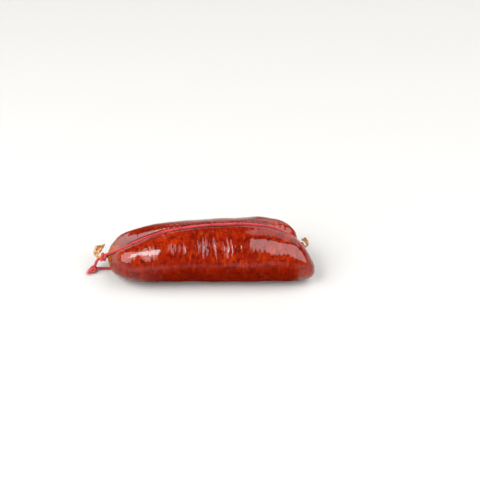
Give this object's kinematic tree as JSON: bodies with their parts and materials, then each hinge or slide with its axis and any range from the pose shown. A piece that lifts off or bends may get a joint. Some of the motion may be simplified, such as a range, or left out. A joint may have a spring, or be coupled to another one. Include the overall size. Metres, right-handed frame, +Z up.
{
  "type": "cured sausage",
  "caption": "Soft cured sausage in a glossy natural casing, tied lengthwise with red twine that parts its top into two lobes, with gathered ends and a knotted free end.",
  "frame": {"origin": "on the surface that the sausage lies on, under the middle of the sausage without its free twine ends", "axes": "+X along the sausage from the end with the knot, +Z up, the larger lobe towards -Y"},
  "size_m": [0.2192, 0.0658, 0.0567],
  "materials": {
    "gut_casing": "glossy, moist, mottled brown-red over the filling",
    "dry_gut": "thin, dry, translucent yellow-brown",
    "twine": "matte twisted red twine"
  },
  "bodies": {
    "root": {"stuffed_casing": "gut_casing", "left_neck_tie": "twine", "right_neck_tie": "twine", "top_twine": "twine", "under_twine": "twine", "lower_free_end": "twine", "upper_free_end": "twine", "end_knot": "twine"}
  },
  "joints": []
}
